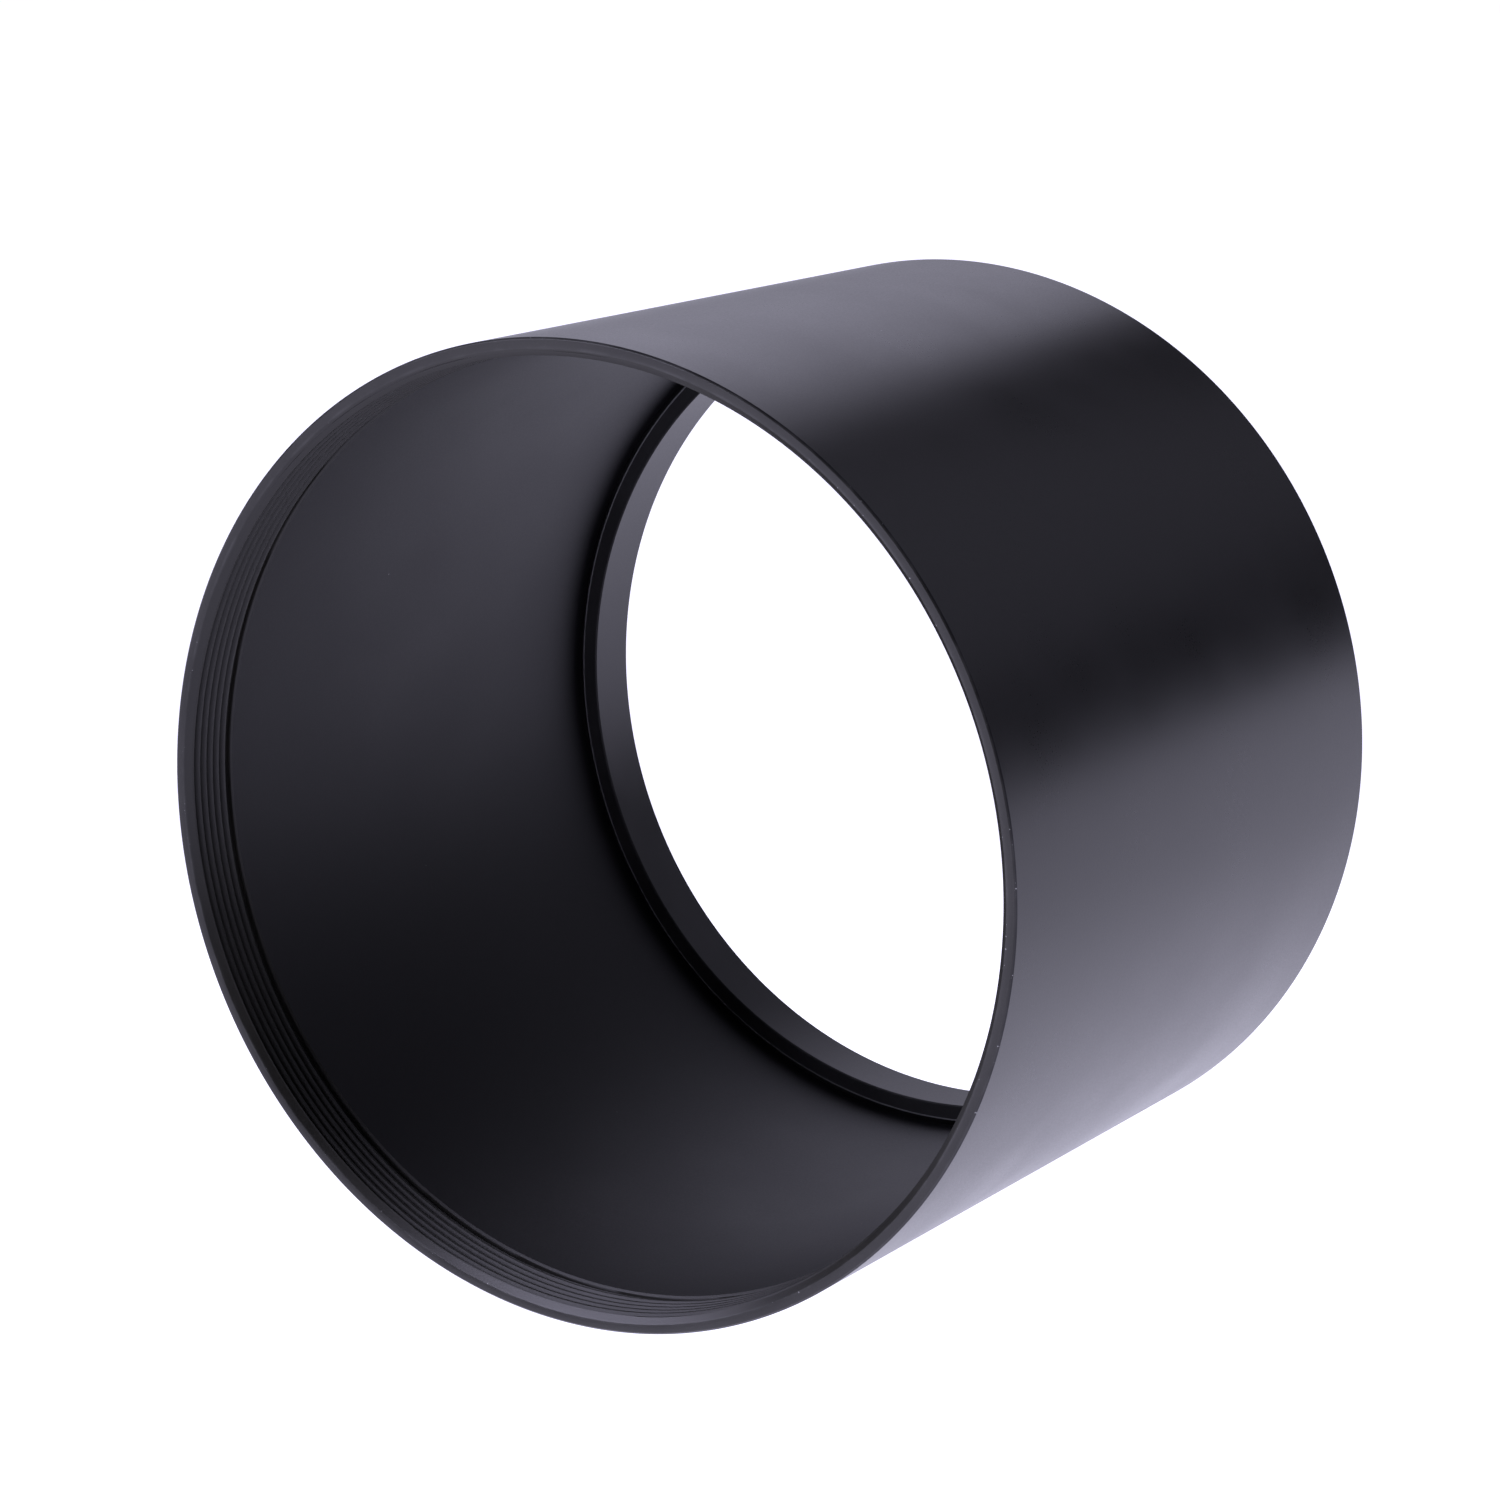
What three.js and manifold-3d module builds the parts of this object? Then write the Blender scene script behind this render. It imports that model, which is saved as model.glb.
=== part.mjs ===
// A screw-in lens hood of black anodised aluminium: a plain turned barrel with a female filter
// thread at its front, and a mount ring with a male filter thread, screwed into its rear.
//
// Millimetres. The optical axis is Y: the front opening faces -Y and the lens is on the +Y side.
// The origin is on the axis, in the plane of the barrel's rear face, which seats on the lens.
import * as THREE from 'three';
import { mergeVertices } from 'three/addons/utils/BufferGeometryUtils.js';
import Module from 'manifold-3d';

const wasm = await Module();
wasm.setup();

// Driving dimensions. A depth is measured from the front rim, inwards along the axis.
const BARREL_RADIUS = 37;
const BARREL_LENGTH = 56.3;
const BORE_RADIUS = 35.62;
const OUTER_EDGE_BREAK = 0.15;

// Filter thread, 72 mm with a 0.75 mm pitch, right-handed, the same at both ends of the hood.
const PITCH = 0.75;
const THREAD_RADIUS = 36;
const MALE_THREAD_RADIUS = 35.95;
const MALE_THREAD_DEPTH = 0.46;
const ROOT_FLAT = 0.1;

// Entry chamfer inside the front rim.
const RIM_INNER_RADIUS = 36.23;
const ENTRY_DEPTH = 0.43;

// Front thread: where its groove passes the top of the rim, where the groove ends, and the turned
// relief behind it that it runs out into.
const FIRST_GROOVE_DEPTH = 0.246;
const LAST_GROOVE_DEPTH = 4.85;
const RELIEF_RADIUS = 36.05;
const RELIEF_FRONT_DEPTH = 4.45;
const RELIEF_FLOOR_DEPTHS = [4.7, 4.98];
const RELIEF_REAR_DEPTH = 5.2;

// The seat in the barrel's rear that the mount ring screws into, up to a shoulder.
const SEAT_RADIUS = 36.05;
const SEAT_DEPTH = 3.3;

// Mount ring. Its 45 degree front corner stops against the inner edge of the seat's shoulder.
const RING_FRONT_Y = -3.8;
const RING_FACE_RADIUS = 35.03;
const RING_BORE_FRONT_RADIUS = 33.7;
const RING_BORE_REAR_RADIUS = 33.88;
const RING_BORE_END_Y = 1.1;
const SPIGOT_LENGTH = 2.2;
const SPIGOT_LIP_RADIUS = 34.9;
const SPIGOT_RELIEF_WIDTH = 0.45;
const EDGE_BREAK = 0.1;

// Flats in one turn of every round surface.
const SIDES = 72;

// How far the tool of a thread groove reaches past the surface that it cuts.
const OVERCUT = 0.12;

const FULL_TURN = 2 * Math.PI;
const FRONT_Y = -BARREL_LENGTH;

/** A solid of revolution about Y, from a closed outline of [radius, y] points. */
function turned(outline) {
  const points = [...outline, outline[0]].map(([radius, y]) => new THREE.Vector2(radius, y));
  return new THREE.LatheGeometry(points, SIDES);
}

/**
 * A straight bar wound into a right-handed helix about Y. Its section is a trapezoid, with its own
 * width along Y at the inner and at the outer radius. It is the tool that cuts one thread groove.
 */
function threadGroove({ innerRadius, outerRadius, innerWidth, outerWidth, firstY, lastY }) {
  const steps = Math.ceil(((lastY - firstY) / PITCH) * SIDES);
  const turns = steps / SIDES;
  const bar = new THREE.BoxGeometry(1, 1, 1, 1, 1, steps);
  const vertices = bar.attributes.position;
  for (let i = 0; i < vertices.count; i += 1) {
    const outwards = vertices.getX(i) + 0.5;
    const across = vertices.getY(i);
    const along = vertices.getZ(i) + 0.5;
    const radius = THREE.MathUtils.lerp(innerRadius, outerRadius, outwards);
    const width = THREE.MathUtils.lerp(innerWidth, outerWidth, outwards);
    const angle = along * turns * FULL_TURN;
    const y = firstY + along * turns * PITCH + across * width;
    vertices.setXYZ(i, radius * Math.sin(angle), y, radius * Math.cos(angle));
  }
  return bar;
}

/** Turns a closed geometry into a solid, facing out whichever way it was wound. */
function toSolid(geometry) {
  const bare = geometry.clone();
  bare.deleteAttribute('normal');
  bare.deleteAttribute('uv');
  const merged = mergeVertices(bare);
  const vertProperties = new Float32Array(merged.attributes.position.array);
  const triVerts = new Uint32Array(merged.index.array);
  if (signedVolume(vertProperties, triVerts) < 0) {
    triVerts.reverse();
  }
  return new wasm.Manifold(new wasm.Mesh({ numProp: 3, vertProperties, triVerts }));
}

/** The volume inside a closed set of triangles, negative where they face in. */
function signedVolume(vertProperties, triVerts) {
  const corners = [new THREE.Vector3(), new THREE.Vector3(), new THREE.Vector3()];
  let sixfold = 0;
  for (let i = 0; i < triVerts.length; i += 3) {
    corners.forEach((corner, k) => corner.fromArray(vertProperties, 3 * triVerts[i + k]));
    sixfold += corners[0].dot(corners[1].clone().cross(corners[2]));
  }
  return sixfold / 6;
}

/** A flat-shaded geometry of a solid. */
function toGeometry(solid) {
  const mesh = solid.getMesh();
  const geometry = new THREE.BufferGeometry();
  geometry.setAttribute('position', new THREE.BufferAttribute(mesh.vertProperties, mesh.numProp));
  geometry.setIndex(new THREE.BufferAttribute(mesh.triVerts, 1));
  geometry.computeVertexNormals();
  return geometry;
}

/** The width of a thread groove at a height above its root, between flanks at 60 degrees. */
function grooveWidth(height) {
  return ROOT_FLAT + 2 * height * Math.tan(Math.PI / 6);
}

function barrelGeometry() {
  const blank = toSolid(turned([
    [BARREL_RADIUS - OUTER_EDGE_BREAK, FRONT_Y],
    [BARREL_RADIUS, FRONT_Y + OUTER_EDGE_BREAK],
    [BARREL_RADIUS, -OUTER_EDGE_BREAK],
    [BARREL_RADIUS - OUTER_EDGE_BREAK, 0],
    [SEAT_RADIUS + EDGE_BREAK, 0],
    [SEAT_RADIUS, -EDGE_BREAK],
    [SEAT_RADIUS, -SEAT_DEPTH],
    [BORE_RADIUS, -SEAT_DEPTH],
    [BORE_RADIUS, FRONT_Y + RELIEF_REAR_DEPTH],
    [RELIEF_RADIUS, FRONT_Y + RELIEF_FLOOR_DEPTHS[1]],
    [RELIEF_RADIUS, FRONT_Y + RELIEF_FLOOR_DEPTHS[0]],
    [BORE_RADIUS, FRONT_Y + RELIEF_FRONT_DEPTH],
    [BORE_RADIUS, FRONT_Y + ENTRY_DEPTH],
    [RIM_INNER_RADIUS, FRONT_Y],
  ]));
  const innerRadius = BORE_RADIUS - OVERCUT;
  const groove = toSolid(threadGroove({
    innerRadius,
    outerRadius: THREAD_RADIUS,
    innerWidth: grooveWidth(THREAD_RADIUS - innerRadius),
    outerWidth: ROOT_FLAT,
    firstY: FRONT_Y + FIRST_GROOVE_DEPTH - PITCH,
    lastY: FRONT_Y + LAST_GROOVE_DEPTH,
  }));
  return toGeometry(blank.subtract(groove));
}

function mountRingGeometry() {
  const frontCorner = MALE_THREAD_RADIUS - RING_FACE_RADIUS;
  const rootRadius = MALE_THREAD_RADIUS - MALE_THREAD_DEPTH;
  const blank = toSolid(turned([
    [RING_BORE_FRONT_RADIUS + EDGE_BREAK, RING_FRONT_Y],
    [RING_FACE_RADIUS, RING_FRONT_Y],
    [MALE_THREAD_RADIUS, RING_FRONT_Y + frontCorner],
    [MALE_THREAD_RADIUS, -EDGE_BREAK],
    [MALE_THREAD_RADIUS - EDGE_BREAK, 0],
    [rootRadius, 0],
    [rootRadius, SPIGOT_RELIEF_WIDTH],
    [MALE_THREAD_RADIUS, SPIGOT_RELIEF_WIDTH + MALE_THREAD_DEPTH / 2],
    [MALE_THREAD_RADIUS, SPIGOT_LENGTH - MALE_THREAD_DEPTH],
    [rootRadius, SPIGOT_LENGTH],
    [SPIGOT_LIP_RADIUS, SPIGOT_LENGTH],
    [RING_BORE_REAR_RADIUS, RING_BORE_END_Y],
    [RING_BORE_FRONT_RADIUS, RING_FRONT_Y + EDGE_BREAK],
  ]));
  const groove = toSolid(threadGroove({
    innerRadius: rootRadius,
    outerRadius: MALE_THREAD_RADIUS + OVERCUT,
    innerWidth: ROOT_FLAT,
    outerWidth: grooveWidth(MALE_THREAD_DEPTH + OVERCUT),
    firstY: SPIGOT_RELIEF_WIDTH / 2 + PITCH / 4,
    lastY: SPIGOT_LENGTH + PITCH / 2,
  }));
  return toGeometry(blank.subtract(groove));
}

/** Satin black anodised aluminium, with a faint violet cast. */
function anodised(color, roughness) {
  return new THREE.MeshStandardMaterial({ color, roughness, metalness: 0.6 });
}

const hood = new THREE.Group();

const barrel = new THREE.Mesh(barrelGeometry(), anodised(0x1c1b20, 0.42));
barrel.name = 'hood_barrel';
hood.add(barrel);

const mountRing = new THREE.Mesh(mountRingGeometry(), anodised(0x1f1e23, 0.36));
mountRing.name = 'mount_ring';
hood.add(mountRing);

export default hood;
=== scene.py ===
"""A screw-in lens hood: a satin black anodised barrel with a front filter thread, and the mount
ring screwed into its rear. Metres, optical axis along Y, front opening towards -Y."""
import math

import bmesh
import bpy
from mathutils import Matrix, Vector


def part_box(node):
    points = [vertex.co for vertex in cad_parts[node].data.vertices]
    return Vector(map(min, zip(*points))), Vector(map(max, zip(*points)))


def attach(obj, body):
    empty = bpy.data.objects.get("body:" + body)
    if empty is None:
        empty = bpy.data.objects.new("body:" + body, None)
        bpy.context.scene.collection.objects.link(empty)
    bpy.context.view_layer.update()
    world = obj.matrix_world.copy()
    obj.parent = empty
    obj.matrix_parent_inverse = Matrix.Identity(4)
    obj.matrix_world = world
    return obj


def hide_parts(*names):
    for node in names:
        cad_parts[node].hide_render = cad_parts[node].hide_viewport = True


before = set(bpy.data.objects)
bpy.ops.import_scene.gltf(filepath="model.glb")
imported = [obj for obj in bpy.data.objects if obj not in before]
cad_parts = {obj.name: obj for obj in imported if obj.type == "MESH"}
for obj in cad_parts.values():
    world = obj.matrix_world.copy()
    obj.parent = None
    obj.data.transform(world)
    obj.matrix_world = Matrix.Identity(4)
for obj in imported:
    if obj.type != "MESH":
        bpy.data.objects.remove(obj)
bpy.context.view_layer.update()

MM = 0.001
COLUMNS = 288  # steps in one turn of every round surface
ROWS = 24  # steps in one pitch of a thread
MERGE_DISTANCE = 2e-7

# Sizes in millimetres from here on. These come from the frame.
barrel_low, barrel_high = (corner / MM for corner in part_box("hood_barrel"))
ring_low, ring_high = (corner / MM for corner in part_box("mount_ring"))
BARREL_R = barrel_high.x
FRONT_Y = barrel_low.y
REAR_Y = barrel_high.y
MALE_R = ring_high.x
RING_FRONT_Y = ring_low.y
SPIGOT_END_Y = ring_high.y

# The rest repeats the part's own driving dimensions, with finer edges. A depth is measured from the
# front rim, inwards along the axis.
PITCH = 0.75
FEMALE_R = 36.0
BORE_R = 35.62
ROOT_FLAT = 0.1
FLANK_SLOPE = math.tan(math.radians(30))
EDGE_BREAK = 0.15
RIM_INNER_R = 36.23
ENTRY_DEPTH = 0.43
FIRST_GROOVE_DEPTH = 0.246
LAST_GROOVE_DEPTH = 4.85
RELIEF_R = 36.05
RELIEF_DEPTHS = (4.45, 4.7, 5.05, 5.2)  # its front edge, both ends of its floor, and its rear edge
RELIEF_LIP_DEPTH = 5.08  # a narrow lip on the relief's rear side, which catches the light
RELIEF_LIP_R = 35.77
SEAT_R = 36.05
SEAT_DEPTH = 3.3
SEAT_CREST_R = 35.66
SEAT_ENTRY_R = 36.15
SEAT_ROOT_FLAT = 0.12
RING_FACE_R = 35.03
RING_BORE_FRONT_R = 33.7
RING_BORE_REAR_R = 33.88
RING_BORE_END_Y = 1.1
RING_EDGE_BREAK = 0.1
SPIGOT_LIP_R = 34.9
SPIGOT_RELIEF_WIDTH = 0.45
MALE_THREAD_DEPTH = 0.46
RING_GROOVE_Y = SPIGOT_RELIEF_WIDTH / 2 + PITCH / 4
SOFT_EDGE = 0.03  # how much a thread's crest is rounded over
EDGE_ROUNDING = 0.05
BORE_EDGE_ROUNDING = 0.03
ARC_STEPS = 4  # steps in the rounding of an edge
SUPPORT = 0.02  # length of the flat stretch on either side of a rounding
SHARP_ANGLE = math.radians(38)  # a bend past this between two faces is a crisp edge


# -------------------------------------------------------------------------------- camera

CAMERA_AZIMUTH = math.radians(32.44)
CAMERA_ELEVATION = math.radians(13.12)
CAMERA_LENS = 103.9
# The front rim's centre as the camera sees it, in barrel radii: right, down and away.
RIM_CENTRE_SEEN = (-0.3530, 0.1866, 8.5044)


def make_camera():
    """A camera that looks down at the front opening from its right, level from side to side."""
    sin_a, cos_a = math.sin(CAMERA_AZIMUTH), math.cos(CAMERA_AZIMUTH)
    sin_e, cos_e = math.sin(CAMERA_ELEVATION), math.cos(CAMERA_ELEVATION)
    right = Vector((cos_a, sin_a, 0))
    forward = Vector((-sin_a * cos_e, cos_a * cos_e, -sin_e))
    up = right.cross(forward)
    seen_right, seen_down, seen_away = (BARREL_R * MM * part for part in RIM_CENTRE_SEEN)
    rim_centre = Vector((0, FRONT_Y * MM, 0))
    data = bpy.data.cameras.new("camera")
    data.lens = CAMERA_LENS
    data.sensor_width = 36
    data.clip_start = 0.01
    data.clip_end = 50
    camera = bpy.data.objects.new("camera", data)
    bpy.context.scene.collection.objects.link(camera)
    camera.location = rim_centre - seen_right * right + seen_down * up - seen_away * forward
    camera.rotation_mode = "QUATERNION"
    camera.rotation_quaternion = forward.to_track_quat("-Z", "Y")
    bpy.context.scene.camera = camera


# -------------------------------------------------------------------------------- turning


def rounded(corners):
    """A path of (radius, y) points from (radius, y, rounding) corners. A rounded corner gets a
    short flat stretch on either side, which keeps its shading off the surface beyond."""
    path = []
    for i, (r, y, rounding) in enumerate(corners):
        here = Vector((r, y))
        if not rounding:
            path.append((r, y))
            continue
        before = (Vector(corners[i - 1][:2]) - here).normalized()
        after = (Vector(corners[i + 1][:2]) - here).normalized()
        half = before.angle(after) / 2
        reach = rounding / math.tan(half)
        centre = here + (before + after).normalized() * rounding / math.sin(half)
        first = here + before * reach - centre
        last = here + after * reach - centre
        path.append(tuple(here + before * (reach + SUPPORT)))
        for k in range(ARC_STEPS + 1):
            path.append(tuple(centre + first.lerp(last, k / ARC_STEPS).normalized() * rounding))
        path.append(tuple(here + after * (reach + SUPPORT)))
    return path


class PlainBand:
    """A stretch of a turned outline that is the same all the way round."""

    backwards = False
    seam_shift = 0

    def __init__(self, corners):
        self.path = rounded(corners)

    def column(self, turn):
        return self.path


class ThreadBand:
    """A stretch of a turned outline from one y to another, in rows that climb one pitch a turn, so
    that a thread's edges run along them. radius_at(y, turn) is the surface's radius, where turn is
    the part of a full turn from the top, clockwise as seen from the front."""

    seam_shift = ROWS

    def __init__(self, first_y, last_y, radius_at):
        self.low, self.high = min(first_y, last_y), max(first_y, last_y)
        self.backwards = first_y > last_y
        self.radius_at = radius_at
        self.rows = math.ceil((self.high - self.low) / PITCH * ROWS) + ROWS

    def column(self, turn):
        points = []
        for k in range(self.rows + 1):
            y = self.low + PITCH * (turn - 1 + k / ROWS)
            y = min(max(y, self.low), self.high)
            points.append((self.radius_at(y, turn), y))
        return points


def add_face(bm, corners):
    """Adds a face, unless too few of its corners differ."""
    different = list(dict.fromkeys(corners))
    if len(different) > 2:
        bm.faces.new(different)


def join_columns(bm, bands, here, there, at_seam):
    """The strip of faces between two neighbouring columns of a turned piece."""
    for b, band in enumerate(bands):
        shift = band.seam_shift if at_seam else 0
        top = len(here[b]) - 1
        for k in range(top):
            far, near = min(k + 1 + shift, top), min(k + shift, top)
            add_face(bm, [here[b][k], here[b][k + 1], there[b][far], there[b][near]])
    for b, band in enumerate(bands):
        following = (b + 1) % len(bands)
        leave = 0 if band.backwards else -1
        enter = -1 if bands[following].backwards else 0
        add_face(
            bm,
            [here[b][leave], here[following][enter], there[following][enter], there[b][leave]],
        )


def turned_piece(name, bands):
    """A closed piece turned about Y, from bands that together run once round its section."""
    bm = bmesh.new()
    columns = []
    for i in range(COLUMNS):
        turn = i / COLUMNS
        across, up = math.sin(2 * math.pi * turn) * MM, math.cos(2 * math.pi * turn) * MM
        columns.append([
            [bm.verts.new((r * across, y * MM, r * up)) for r, y in band.column(turn)]
            for band in bands
        ])
    for i in range(COLUMNS):
        at_seam = i == COLUMNS - 1
        join_columns(bm, bands, columns[i], columns[(i + 1) % COLUMNS], at_seam)
    bmesh.ops.remove_doubles(bm, verts=bm.verts, dist=MERGE_DISTANCE)
    bmesh.ops.recalc_face_normals(bm, faces=bm.faces)
    mesh = bpy.data.meshes.new(name)
    bm.to_mesh(mesh)
    bm.free()
    mesh.shade_smooth()
    mesh.set_sharp_from_angle(angle=SHARP_ANGLE)
    piece = bpy.data.objects.new(name, mesh)
    bpy.context.scene.collection.objects.link(piece)
    return piece


def from_groove(y, turn, first_y):
    """How far y is from the middle of the nearest thread groove, and the middle of that groove. The
    groove passes the top of the piece at first_y and moves on by one pitch a turn."""
    steps = round((y - first_y) / PITCH - turn)
    middle = first_y + (steps + turn) * PITCH
    return abs(y - middle), middle


def soft_max(a, b):
    """The larger of two radii, with the corner between them rounded over."""
    blend = max(SOFT_EDGE - abs(a - b), 0) / SOFT_EDGE
    return max(a, b) + blend * blend * SOFT_EDGE / 4


def ramp(y, y_0, r_0, y_1, r_1):
    """The radius at y of a cone through two points of its outline."""
    return r_0 + (r_1 - r_0) * (y - y_0) / (y_1 - y_0)


# -------------------------------------------------------------------------------- barrel


def front_thread_radius(y, turn):
    """The inside of the barrel's front: entry chamfer, thread, and the relief that it runs into."""
    depth = y - FRONT_Y
    radius = BORE_R
    off, middle = from_groove(depth, turn, FIRST_GROOVE_DEPTH)
    if middle <= LAST_GROOVE_DEPTH:
        groove = FEMALE_R - max(off - ROOT_FLAT / 2, 0) / FLANK_SLOPE
        radius = soft_max(radius, groove)
    if depth < ENTRY_DEPTH:
        radius = max(radius, ramp(depth, 0, RIM_INNER_R, ENTRY_DEPTH, BORE_R))
    front, floor_front, floor_rear, rear = RELIEF_DEPTHS
    if front < depth < rear:
        front_side = ramp(depth, front, BORE_R, floor_front, RELIEF_R)
        lip = ramp(depth, rear, BORE_R, RELIEF_LIP_DEPTH, RELIEF_LIP_R)
        shoulder = ramp(depth, RELIEF_LIP_DEPTH, RELIEF_LIP_R, floor_rear, RELIEF_R)
        radius = max(radius, min(front_side, max(lip, shoulder), RELIEF_R))
    return radius


def seat_thread_radius(y, turn):
    """The thread in the barrel's rear, whose grooves take the ridges of the ring's thread."""
    off, _ = from_groove(y, turn, RING_GROOVE_Y + PITCH / 2)
    groove = SEAT_R - max(off - SEAT_ROOT_FLAT / 2, 0) / FLANK_SLOPE
    entry = SEAT_ENTRY_R + (y - REAR_Y)
    return max(soft_max(SEAT_CREST_R, groove), entry)


def make_barrel():
    front, floor_front, floor_rear, rear = (FRONT_Y + depth for depth in RELIEF_DEPTHS)
    lip = FRONT_Y + RELIEF_LIP_DEPTH
    outside = PlainBand([
        (RIM_INNER_R, FRONT_Y, 0),
        (BARREL_R - EDGE_BREAK, FRONT_Y, EDGE_ROUNDING),
        (BARREL_R, FRONT_Y + EDGE_BREAK, EDGE_ROUNDING),
        (BARREL_R, REAR_Y - EDGE_BREAK, EDGE_ROUNDING),
        (BARREL_R - EDGE_BREAK, REAR_Y, EDGE_ROUNDING),
        (SEAT_ENTRY_R, REAR_Y, 0),
    ])
    seat = ThreadBand(REAR_Y, REAR_Y - SEAT_DEPTH, seat_thread_radius)
    bore = PlainBand([(BORE_R, REAR_Y - SEAT_DEPTH, 0), (BORE_R, rear, 0)])
    stops = [rear, lip, floor_rear, floor_front, front, FRONT_Y + ENTRY_DEPTH, FRONT_Y]
    thread = [ThreadBand(a, b, front_thread_radius) for a, b in zip(stops, stops[1:])]
    return turned_piece("barrel_turned", [outside, seat, bore, *thread])


# -------------------------------------------------------------------------------- mount ring


def ring_thread_radius(y, turn):
    """The outside of the mount ring: one male thread, with a relief where the barrel ends."""
    off, _ = from_groove(y, turn, RING_GROOVE_Y)
    root = MALE_R - MALE_THREAD_DEPTH
    groove = root + max(off - ROOT_FLAT / 2, 0) / FLANK_SLOPE
    radius = -soft_max(-MALE_R, -groove)
    front_corner = RING_FACE_R + (y - RING_FRONT_Y)
    rear_corner = root + (SPIGOT_END_Y - y)
    radius = min(radius, front_corner, rear_corner)
    if y > REAR_Y:
        rise_end = SPIGOT_RELIEF_WIDTH + MALE_THREAD_DEPTH / 2
        rise = ramp(y, SPIGOT_RELIEF_WIDTH, root, rise_end, MALE_R)
        radius = min(radius, max(rise, root))
    return radius


def make_mount_ring():
    root = MALE_R - MALE_THREAD_DEPTH
    face_end = RING_FRONT_Y + RING_EDGE_BREAK
    corner_end = RING_FRONT_Y + MALE_R - RING_FACE_R
    relief_end = REAR_Y + SPIGOT_RELIEF_WIDTH
    stops = [face_end, corner_end, REAR_Y]
    seat = [ThreadBand(a, b, ring_thread_radius) for a, b in zip(stops, stops[1:])]
    relief = PlainBand([(root, REAR_Y, 0), (root, relief_end, 0)])
    stops = [relief_end, relief_end + MALE_THREAD_DEPTH / 2, SPIGOT_END_Y - MALE_THREAD_DEPTH]
    stops.append(SPIGOT_END_Y)
    spigot = [ThreadBand(a, b, ring_thread_radius) for a, b in zip(stops, stops[1:])]
    inside_and_face = PlainBand([
        (SPIGOT_LIP_R, SPIGOT_END_Y, 0),
        (RING_BORE_REAR_R, RING_BORE_END_Y, 0),
        (RING_BORE_FRONT_R, face_end, BORE_EDGE_ROUNDING),
        (RING_BORE_FRONT_R + RING_EDGE_BREAK, RING_FRONT_Y, BORE_EDGE_ROUNDING),
        (RING_FACE_R, RING_FRONT_Y, EDGE_ROUNDING),
        (RING_FACE_R + RING_EDGE_BREAK, face_end, 0),
    ])
    return turned_piece("mount_ring_turned", [inside_and_face, *seat, relief, *spigot])


# -------------------------------------------------------------------------------- finish


class Finish:
    """One material and the nodes that feed its shader. Lengths in it are millimetres."""

    def __init__(self, name):
        self.material = bpy.data.materials.new(name)
        self.material.use_nodes = True
        self.tree = self.material.node_tree
        self.shader = self.tree.nodes["Principled BSDF"]
        place = self.node("ShaderNodeTexCoord").outputs["Object"]
        self.place = self.vector("MULTIPLY", place, (1 / MM, 1 / MM, 1 / MM))
        split = self.node("ShaderNodeSeparateXYZ")
        self.feed(split.inputs[0], self.place)
        self.y = split.outputs["Y"]
        self.x, self.z = split.outputs["X"], split.outputs["Z"]
        self.radius = self.length(self.x, self.z)

    def node(self, kind, **settings):
        node = self.tree.nodes.new(kind)
        for name, setting in settings.items():
            setattr(node, name, setting)
        return node

    def feed(self, socket, value):
        """Links a socket to another node's output, or sets it to a plain value."""
        if isinstance(value, bpy.types.NodeSocket):
            self.tree.links.new(value, socket)
        else:
            socket.default_value = value

    def math(self, operation, *values):
        node = self.node("ShaderNodeMath", operation=operation)
        for socket, value in zip(node.inputs, values):
            self.feed(socket, value)
        return node.outputs[0]

    def length(self, a, b):
        """The length of a vector with two parts."""
        squares = [self.math("MULTIPLY", part, part) for part in (a, b)]
        return self.math("SQRT", self.math("ADD", *squares))

    def blend(self, factor, first, second):
        """A blend of two numbers."""
        change = self.math("MULTIPLY", factor, self.math("SUBTRACT", second, first))
        return self.math("ADD", first, change)

    def vector(self, operation, *values):
        node = self.node("ShaderNodeVectorMath", operation=operation)
        for socket, value in zip(node.inputs, values):
            self.feed(socket, value)
        return node.outputs[0]

    def step(self, value, low, high, at_low=0.0, at_high=1.0):
        """A smooth step from at_low to at_high, as the value goes from low to high."""
        node = self.node("ShaderNodeMapRange", interpolation_type="SMOOTHSTEP")
        for name, setting in zip(
            ("Value", "From Min", "From Max", "To Min", "To Max"),
            (value, low, high, at_low, at_high),
        ):
            self.feed(node.inputs[name], setting)
        return node.outputs[0]

    def noise(self, size, detail=2.0, place=None):
        """Noise from 0 to 1 whose features are about this size."""
        node = self.node("ShaderNodeTexNoise")
        self.feed(node.inputs["Vector"], place or self.place)
        self.feed(node.inputs["Scale"], 1 / size)
        self.feed(node.inputs["Detail"], detail)
        return node.outputs["Fac"]

    def mix(self, factor, first, second):
        """A blend of two colours."""
        node = self.node("ShaderNodeMix", data_type="RGBA")
        self.feed(node.inputs["Factor"], factor)
        self.feed(node.inputs["A"], (*first, 1) if isinstance(first, tuple) else first)
        self.feed(node.inputs["B"], (*second, 1) if isinstance(second, tuple) else second)
        return node.outputs["Result"]

    def scaled(self, colour, factor):
        """A colour multiplied by a number."""
        node = self.node("ShaderNodeVectorMath", operation="SCALE")
        self.feed(node.inputs[0], colour)
        self.feed(node.inputs["Scale"], factor)
        return node.outputs[0]


WALL_BLACK = (0.0080, 0.0077, 0.0088)
RING_BLACK = (0.0200, 0.0197, 0.0208)
RIM_BLACK = (0.0202, 0.0197, 0.0185)
THREAD_BLACK = (0.0098, 0.0093, 0.0075)
# The colour of bare metal where the coat is worn through, and also of the painted highlight along
# the ring's front corner.
BARE_METAL_AND_HIGHLIGHT = (0.56, 0.56, 0.58)
DUST = (0.30, 0.29, 0.31)
OXIDE_IOR = 1.45
SHEEN_TINT = (0.92, 0.91, 0.97)
OUTER_ROUGHNESS = 0.31
INNER_ROUGHNESS = 0.58
RIM_ROUGHNESS = 0.33
THREAD_ROUGHNESS = 0.46
RING_ROUGHNESS = 0.42

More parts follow.
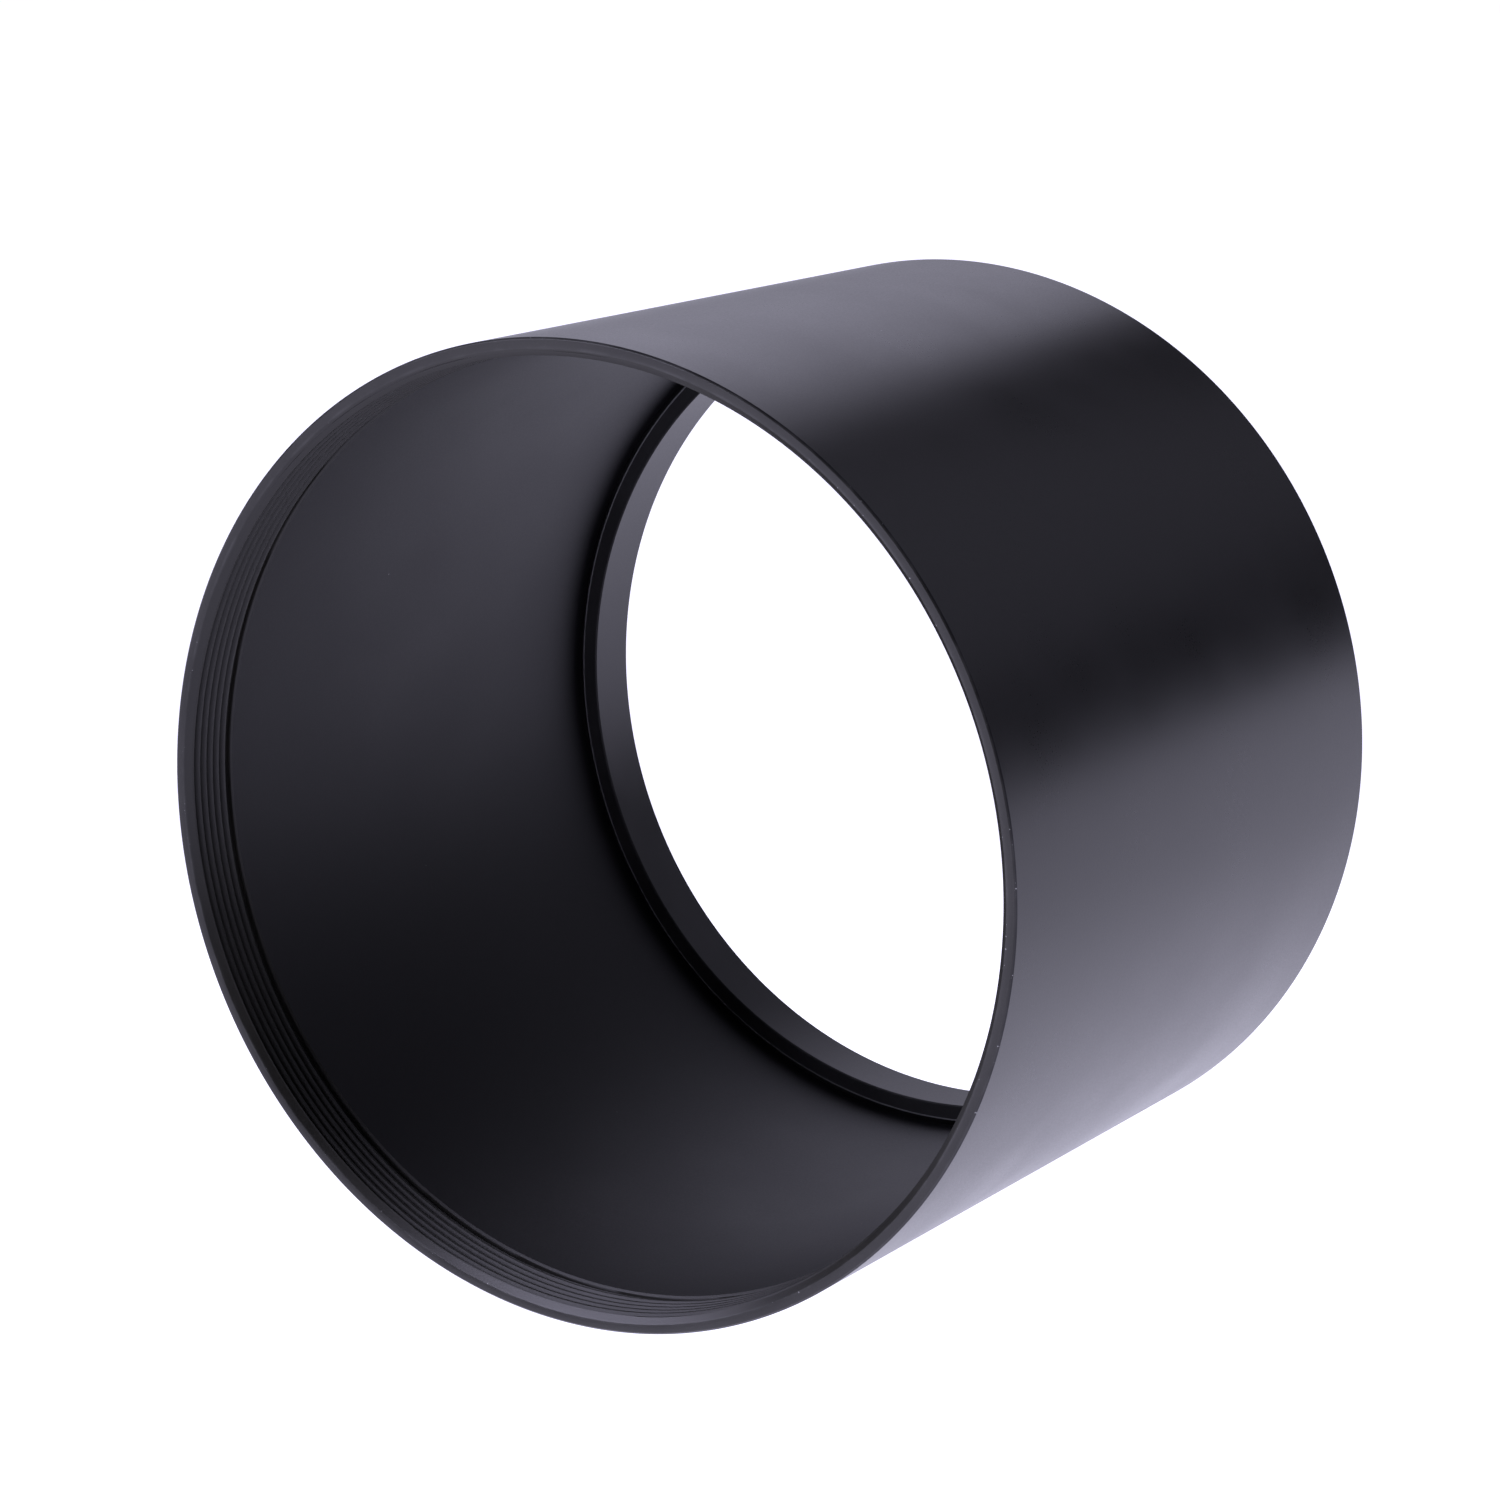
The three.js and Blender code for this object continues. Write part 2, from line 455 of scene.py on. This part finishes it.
# Sizes of the finish's detail.
GRAIN_SIZE = 0.15
CLOUD_SIZE = 9.0
RUB_SIZE = 2.2
CHIP_SIZE = 0.3
CHIP_CLUSTER_SIZE = 14.0
DUST_SIZE = 0.09
DUST_SPACING = 3.4
MARK_WIDTH = 0.09
BUMP_HEIGHT = 0.006
EDGE_BAND = 0.22  # how far from an edge its coating is rubbed
BLEND = 0.1  # how wide a step from one finish to the next is

# How noise shows: its level where that begins and ends, then what it gives there, if not 0 and 1.
CLOUD_SHADE = (0.3, 0.7, 0.8, 1.25)
GRAIN_SHADE = (0.55, 0.8, 1.0, 1.4)
CLOUD_ROUGHNESS = (0.2, 0.8, -0.02, 0.02)
GRAIN_ROUGHNESS = (0.2, 0.8, -0.03, 0.03)
RUBBED = (0.35, 0.75)
CHIPPED = (0.645, 0.68)
EDGE_CORE = (0.45, 0.8)  # the same for the fall from an edge, to keep only the middle of it

# How strongly each detail shows, from 0 to 1.
RUB_SHARE = 0.04
CHIP_SHARE = 0.6
CHIP_CLUSTERING = 0.3
# How pale the painted highlight along the ring's front corner is.
PAINTED_HIGHLIGHT_SHARE = 0.4
DUST_SHARE = 0.5
DUST_KEPT = 0.35
BUMP_STRENGTH = 0.5
MARK_DEPTH = 0.6  # of a turning mark, as a part of the grain's

MARK_CHANGE = 2.0  # how much the turning marks change on their way round
MARK_SLOPE = 1.37  # how much denser they are along y; at 1, a 45 degree chamfer would have none


def near_edges(finish, edges):
    """1 on the round edges given as (radius, y), falling to 0 at a short distance from them."""
    nearest = EDGE_BAND
    for radius, y in edges:
        off_radius = finish.math("SUBTRACT", finish.radius, radius)
        off_y = finish.math("SUBTRACT", finish.y, y)
        nearest = finish.math("MINIMUM", nearest, finish.length(off_radius, off_y))
    return finish.step(nearest, 0.0, EDGE_BAND, 1.0, 0.0)


def dust_specks(finish):
    """1 on small specks of dust."""
    cells = finish.node("ShaderNodeTexVoronoi")
    finish.feed(cells.inputs["Vector"], finish.place)
    finish.feed(cells.inputs["Scale"], 1 / DUST_SPACING)
    reach = DUST_SIZE / DUST_SPACING
    speck = finish.step(cells.outputs["Distance"], 0.5 * reach, reach, 1.0, 0.0)
    pick = finish.node("ShaderNodeSeparateColor")
    finish.feed(pick.inputs[0], cells.outputs["Color"])
    kept = finish.math("LESS_THAN", pick.outputs["Red"], DUST_KEPT)
    return finish.math("MULTIPLY", speck, kept)


def turning_marks(finish):
    """Fine rings from a lathe tool, unbroken for about a tenth of a turn."""
    around = finish.node("ShaderNodeCombineXYZ")
    for name, part in (("X", finish.x), ("Y", finish.z)):
        direction = finish.math("DIVIDE", part, finish.radius)
        finish.feed(around.inputs[name], finish.math("MULTIPLY", direction, MARK_CHANGE))
    outline = finish.math("ADD", finish.radius, finish.math("MULTIPLY", finish.y, MARK_SLOPE))
    finish.feed(around.inputs["Z"], finish.math("DIVIDE", outline, MARK_WIDTH))
    return finish.noise(1.0, place=around.outputs[0])


def worn(finish, base, edges):
    """The base colour with its edges rubbed and chipped, and 1 where the chips are."""
    edge = near_edges(finish, edges)
    rubbed = finish.math("MULTIPLY", edge, finish.step(finish.noise(RUB_SIZE), *RUBBED))
    base = finish.mix(finish.math("MULTIPLY", rubbed, RUB_SHARE), base, BARE_METAL_AND_HIGHLIGHT)
    fine = finish.math("MULTIPLY", finish.noise(CHIP_SIZE, detail=3.0), 1 - CHIP_CLUSTERING)
    coarse = finish.math("MULTIPLY", finish.noise(CHIP_CLUSTER_SIZE), CHIP_CLUSTERING)
    chipped = finish.step(finish.math("ADD", fine, coarse), *CHIPPED)
    chip = finish.math("MULTIPLY", finish.step(edge, *EDGE_CORE), chipped)
    return finish.mix(finish.math("MULTIPLY", chip, CHIP_SHARE), base, BARE_METAL_AND_HIGHLIGHT), chip


def anodised(name, colour, roughness, turned, edges, painted_highlight_corner=None):
    """Black anodised aluminium. colour(finish) and roughness(finish) are what it has before the
    fine variation. turned(finish) is 1 where the surface is as the lathe left it, and 0 where it
    was bead blasted. Along the painted highlight corner the colour is paled towards bare metal: a
    painted highlight, in place of the glint of light on that edge. Edges and corners are (radius,
    y)."""
    finish = Finish(name)
    shader = finish.shader.inputs
    grain = finish.noise(GRAIN_SIZE)
    cloud = finish.noise(CLOUD_SIZE, detail=3.0)

    clouds, grains = finish.step(cloud, *CLOUD_SHADE), finish.step(grain, *GRAIN_SHADE)
    base = finish.scaled(colour(finish), finish.math("MULTIPLY", clouds, grains))
    base, chip = worn(finish, base, edges)
    if painted_highlight_corner:
        # Painted highlight: the colour pales towards bare metal along this corner, standing in for
        # the glint of light on the edge.
        painted_glint = finish.step(near_edges(finish, [painted_highlight_corner]), *EDGE_CORE, 0.0, PAINTED_HIGHLIGHT_SHARE)
        base = finish.mix(painted_glint, base, BARE_METAL_AND_HIGHLIGHT)
    dust = finish.math("MULTIPLY", dust_specks(finish), DUST_SHARE)
    finish.feed(shader["Base Color"], finish.mix(dust, base, DUST))
    finish.feed(shader["Metallic"], chip)

    clouds, grains = finish.step(cloud, *CLOUD_ROUGHNESS), finish.step(grain, *GRAIN_ROUGHNESS)
    variation = finish.math("ADD", clouds, grains)
    finish.feed(shader["Roughness"], finish.math("ADD", roughness(finish), variation))
    finish.feed(shader["IOR"], OXIDE_IOR)
    finish.feed(shader["Specular Tint"], (*SHEEN_TINT, 1))

    marks = finish.math("MULTIPLY", turning_marks(finish), MARK_DEPTH)
    bump = finish.node("ShaderNodeBump")
    finish.feed(bump.inputs["Strength"], BUMP_STRENGTH)
    finish.feed(bump.inputs["Distance"], BUMP_HEIGHT * MM)
    finish.feed(bump.inputs["Height"], finish.blend(turned(finish), grain, marks))
    finish.feed(shader["Normal"], bump.outputs[0])
    return finish.material


def barrel_material():
    just_inside = BARREL_R - EDGE_BREAK / 2
    entry_end = FRONT_Y + ENTRY_DEPTH
    thread_end = FRONT_Y + RELIEF_DEPTHS[-1]

    def turned(finish):
        inside = finish.math("LESS_THAN", finish.radius, just_inside)
        front = finish.math("LESS_THAN", finish.y, thread_end)
        rear = finish.math("GREATER_THAN", finish.y, REAR_Y - SEAT_DEPTH)
        return finish.math("MULTIPLY", inside, finish.math("MAXIMUM", front, rear))

    def roughness(finish):
        outside = finish.math("GREATER_THAN", finish.radius, just_inside)
        wall = finish.blend(outside, INNER_ROUGHNESS, OUTER_ROUGHNESS)
        cut = finish.step(finish.y, entry_end - BLEND, entry_end, RIM_ROUGHNESS, THREAD_ROUGHNESS)
        return finish.blend(turned(finish), wall, cut)

    def colour(finish):
        on_rim = finish.step(finish.radius, RIM_INNER_R - BLEND, RIM_INNER_R)
        cut = finish.mix(on_rim, THREAD_BLACK, RIM_BLACK)
        return finish.mix(turned(finish), WALL_BLACK, cut)

    edges = [
        (just_inside, FRONT_Y + EDGE_BREAK / 2),
        (just_inside, REAR_Y - EDGE_BREAK / 2),
        (RIM_INNER_R, FRONT_Y),
    ]
    return anodised("barrel_black", colour, roughness, turned, edges)


def ring_material():
    return anodised(
        "ring_black",
        colour=lambda finish: RING_BLACK,
        roughness=lambda finish: RING_ROUGHNESS,
        turned=lambda finish: 1.0,
        edges=[(MALE_R - MALE_THREAD_DEPTH, SPIGOT_END_Y)],
        # A painted highlight: a paler line along the outer corner of the front face, for the glint
        # of light on that edge.
        painted_highlight_corner=(RING_FACE_R, RING_FRONT_Y),
    )


# -------------------------------------------------------------------------------- stage


LIGHT_TINT = (0.99, 0.97, 1.2)
FLOOR_HALF = 4  # metres
FLOOR_COLOUR = (0.2, 0.2, 0.2)
FLOOR_ROUGHNESS = 0.7
FLOOR_GLOW = (0.05, 0.13, 1.3, 1.03)  # metres from the centre, and the glow there
OBJECT_CENTRE = Vector((0, FRONT_Y / 2 * MM, 0))
SOFTBOX_DISTANCE = 1.2  # metres
# Name, azimuth, elevation and half of its angular size in degrees, and radiance.
SOFTBOXES = (
    ("key", -133, 47, 17, 1.15),
    ("key_spill", -133, 45, 33, 0.54),
    ("low", -139, 25, 25, 0.48),
    ("right", 141, 42, 30, 0.3),
    ("front", -40, 30, 20, 5.5),
)


def floor_material():
    """The top of a light table, which glows a little more strongly under the object."""
    material = bpy.data.materials.new("floor_white")
    material.use_nodes = True
    nodes, links = material.node_tree.nodes, material.node_tree.links
    shader = nodes["Principled BSDF"].inputs
    shader["Base Color"].default_value = (*FLOOR_COLOUR, 1)
    shader["Roughness"].default_value = FLOOR_ROUGHNESS
    shader["Specular IOR Level"].default_value = 0
    shader["Emission Color"].default_value = (*LIGHT_TINT, 1)
    away = nodes.new("ShaderNodeVectorMath")
    away.operation = "LENGTH"
    links.new(nodes.new("ShaderNodeTexCoord").outputs["Object"], away.inputs[0])
    glow = nodes.new("ShaderNodeMapRange")
    glow.interpolation_type = "SMOOTHSTEP"
    links.new(away.outputs["Value"], glow.inputs["Value"])
    for name, setting in zip(("From Min", "From Max", "To Min", "To Max"), FLOOR_GLOW):
        glow.inputs[name].default_value = setting
    links.new(glow.outputs[0], shader["Emission Strength"])
    return material


def make_floor():
    """A light table: a white floor that glows, so that nothing casts a shadow on it."""
    mesh = bpy.data.meshes.new("floor")
    corners = [(-1, -1), (1, -1), (1, 1), (-1, 1)]
    z = -BARREL_R * MM
    mesh.from_pydata([(FLOOR_HALF * x, FLOOR_HALF * y, z) for x, y in corners], [], [(0, 1, 2, 3)])
    mesh.materials.append(floor_material())
    floor = bpy.data.objects.new("floor", mesh)
    bpy.context.scene.collection.objects.link(floor)


def make_softbox(name, azimuth, elevation, half_angle, radiance):
    """A round softbox that faces the object. Azimuth runs from the front towards +X."""
    a, e = math.radians(azimuth), math.radians(elevation)
    direction = Vector((math.cos(e) * math.sin(a), -math.cos(e) * math.cos(a), math.sin(e)))
    radius = SOFTBOX_DISTANCE * math.tan(math.radians(half_angle))
    data = bpy.data.lights.new(name, "AREA")
    data.shape = "DISK"
    data.size = 2 * radius
    data.energy = radiance * math.pi * (math.pi * radius**2)
    data.color = LIGHT_TINT
    light = bpy.data.objects.new(name, data)
    light.location = OBJECT_CENTRE + direction * SOFTBOX_DISTANCE
    light.rotation_mode = "QUATERNION"
    light.rotation_quaternion = (-direction).to_track_quat("-Z", "Y")
    bpy.context.scene.collection.objects.link(light)


def make_world():
    """White all round the set as the camera sees it, and black to everything else."""
    world = bpy.data.worlds.new("studio")
    world.use_nodes = True
    nodes, links = world.node_tree.nodes, world.node_tree.links
    backdrop = nodes["Background"].inputs
    backdrop["Color"].default_value = (1, 1, 1, 1)
    light_path = nodes.new("ShaderNodeLightPath")
    links.new(light_path.outputs["Is Camera Ray"], backdrop["Strength"])
    bpy.context.scene.world = world
    bpy.context.scene.view_settings.view_transform = "Standard"


# -------------------------------------------------------------------------------- scene

make_camera()
barrel = make_barrel()
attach(barrel, "barrel")
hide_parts("hood_barrel")
barrel.data.materials.append(barrel_material())

ring = make_mount_ring()
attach(ring, "mount_ring")
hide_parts("mount_ring")
ring.data.materials.append(ring_material())

make_floor()
for softbox in SOFTBOXES:
    make_softbox(*softbox)
make_world()
